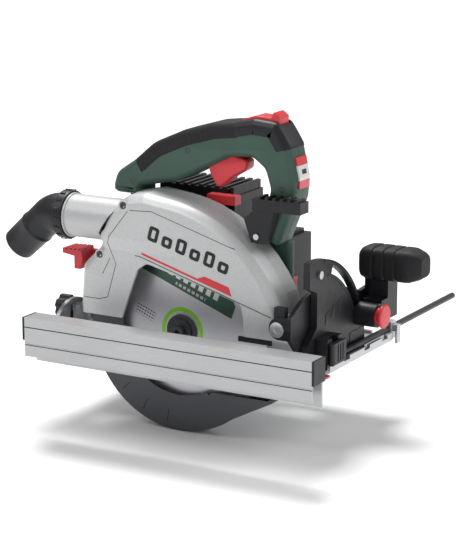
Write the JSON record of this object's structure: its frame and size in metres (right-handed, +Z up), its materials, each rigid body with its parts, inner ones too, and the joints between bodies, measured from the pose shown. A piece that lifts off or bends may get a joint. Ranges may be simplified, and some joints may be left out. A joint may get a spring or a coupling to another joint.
{
  "type": "circular saw",
  "caption": "Cordless circular saw with blade under a cast guard, tilting and plunging base, D-handle, front grip, side fence, dust elbow and slide-on battery.",
  "frame": {"origin": "on the sole of the base plate, at its centre line, below the spindle at full depth", "axes": "+X forward along the cut, +Y to the saw's left (motor side), +Z up from the sole"},
  "size_m": [0.4114, 0.408, 0.3225],
  "materials": {
    "cast": "sand-cast, fine grain",
    "case_cast": "sand-cast",
    "sheet": "brushed",
    "steel": "machined",
    "zinc": "zinc plated",
    "chrome": "polished",
    "blade_steel": "ground",
    "black": "fine grain",
    "soft": "soft-touch",
    "green": "fine grain",
    "red": "satin",
    "guard_grey": "powder coat",
    "dark_metal": "black coat",
    "copper": "enamelled wire",
    "board": "board",
    "badge": "glossy"
  },
  "bodies": {
    "base": {"base_plate": "sheet", "bevel_quadrant": "dark_metal", "rear_bevel_bracket": "steel", "bevel_pins": "steel", "base_screws": "zinc", "rod_clamp_block": "black", "cut_sight": "red", "rod_guide": "sheet"},
    "rod_lock": {"rod_clamp_lever": "black"},
    "guide": {"guide_fence": "sheet", "fence_end_caps": "black", "guide_rod": "steel"},
    "tilt_frame": {"front_tilt_plate": "dark_metal", "rear_tilt_bracket": "zinc", "tilt_rail": "zinc", "depth_strut": "zinc", "pivot_bolt": "chrome", "front_handle_bracket": "black", "front_handle": "soft"},
    "bevel_button": {"bevel_release_button": "red"},
    "rear_knob": {"rear_bevel_knob": "black"},
    "saw": {"guard_cover": "cast", "gear_case": "case_cast", "guard_screws": "dark_metal", "chip_strip": "black", "guard_spring": "steel", "spindle_bearings": "steel", "motor_bearings": "steel", "stator": "copper", "motor_housing": "green", "motor_end_cap": "black", "electronics_cover": "black", "control_board": "board", "handle_right": "green", "handle_left": "green", "soft_grip": "soft", "handle_top_cover": "black", "handle_screws": "dark_metal", "trigger_switch": "black", "battery_foot": "black", "column_badge": "badge"},
    "dust_port": {"dust_nozzle": "black"},
    "swing_guard": {"lower_guard": "guard_grey"},
    "retract_lever": {"guard_lever": "black"},
    "spindle_group": {"blade": "blade_steel", "spindle": "steel", "inner_flange": "steel", "outer_flange": "dark_metal", "blade_bolt": "dark_metal", "spindle_gear": "steel"},
    "rotor": {"motor_shaft": "steel", "rotor_core": "steel", "motor_fan": "black"},
    "lock_off": {"lock_off_button": "red"},
    "trigger_key": {"trigger": "red"},
    "spindle_stop": {"spindle_lock": "red"},
    "depth_clamp": {"depth_lever": "red"},
    "battery": {"battery_pack": "black"},
    "battery_button": {"battery_latch": "red"}
  },
  "joints": [
    {"name": "bevel_tilt", "type": "hinge", "parent": "base", "child": "tilt_frame", "pos_m": [0, -0.064, 0.009], "axis": [1, 0, 0], "range_deg": [0, 45]},
    {"name": "depth_swing", "type": "hinge", "parent": "tilt_frame", "child": "saw", "pos_m": [0.126, -0.064, 0.055], "axis": [0, 1, 0], "range_deg": [0, 30]},
    {"name": "guard_swing", "type": "hinge", "parent": "saw", "child": "swing_guard", "pos_m": [0, -0.064, 0.029], "axis": [0, 1, 0], "range_deg": [0, 130], "stiffness_Nm_per_rad": 0.12, "springref_deg": -34.38},
    {"name": "lever_swing", "type": "hinge", "parent": "saw", "child": "retract_lever", "pos_m": [0.086, -0.064, 0.134], "axis": [0, 1, 0], "range_deg": [0, 19.5]},
    {"name": "spindle_turn", "type": "hinge", "parent": "saw", "child": "spindle_group", "pos_m": [0, -0.064, 0.029], "axis": [0, 1, 0], "continuous": true},
    {"name": "rotor_turn", "type": "hinge", "parent": "saw", "child": "rotor", "pos_m": [-0.007, -0.064, 0.053], "axis": [0, 1, 0], "continuous": true},
    {"name": "nozzle_swivel", "type": "hinge", "parent": "saw", "child": "dust_port", "pos_m": [-0.131, -0.064, 0.132], "axis": [1, 0, 0], "range_deg": [-100, 100]},
    {"name": "trigger_pull", "type": "slide", "parent": "saw", "child": "trigger_key", "axis": [-0.3419, 0, 0.9397], "range_m": [0, 0.006], "stiffness_N_per_m": 300, "springref_m": -0.004},
    {"name": "lock_off_press", "type": "slide", "parent": "saw", "child": "lock_off", "axis": [-0.15, 0, -0.9887], "range_m": [0, 0.004], "stiffness_N_per_m": 300, "springref_m": -0.003},
    {"name": "spindle_lock_press", "type": "slide", "parent": "saw", "child": "spindle_stop", "axis": [0, 0, -1], "range_m": [0, 0.004], "stiffness_N_per_m": 300, "springref_m": -0.003},
    {"name": "depth_lever_turn", "type": "hinge", "parent": "saw", "child": "depth_clamp", "pos_m": [-0.06393, -0.064, 0.05], "axis": [0, 1, 0], "range_deg": [-20, 0]},
    {"name": "rear_knob_turn", "type": "hinge", "parent": "tilt_frame", "child": "rear_knob", "pos_m": [0, -0.044, 0.029], "axis": [1, 0, 0], "range_deg": [-180, 180]},
    {"name": "bevel_button_press", "type": "slide", "parent": "tilt_frame", "child": "bevel_button", "axis": [-1, 0, 0], "range_m": [0, 0.004], "stiffness_N_per_m": 300, "springref_m": -0.003},
    {"name": "rod_lock_swing", "type": "hinge", "parent": "base", "child": "rod_lock", "pos_m": [0.163, -0.0606, 0], "axis": [0, 0, -1], "range_deg": [0, 60]},
    {"name": "guide_slide", "type": "slide", "parent": "base", "child": "guide", "axis": [0, -1, 0], "range_m": [0, 0.12]},
    {"name": "battery_slide", "type": "slide", "parent": "saw", "child": "battery", "axis": [0, 0, 1], "range_m": [0, 0.08]},
    {"name": "battery_button_press", "type": "slide", "parent": "battery", "child": "battery_button", "axis": [-1, 0, 0], "range_m": [0, 0.003], "stiffness_N_per_m": 300, "springref_m": -0.003}
  ],
  "couplings": [
    {"joint": "lever_swing", "follows": "guard_swing", "ratio": 0.15},
    {"joint": "rotor_turn", "follows": "spindle_turn", "ratio": -4}
  ]
}
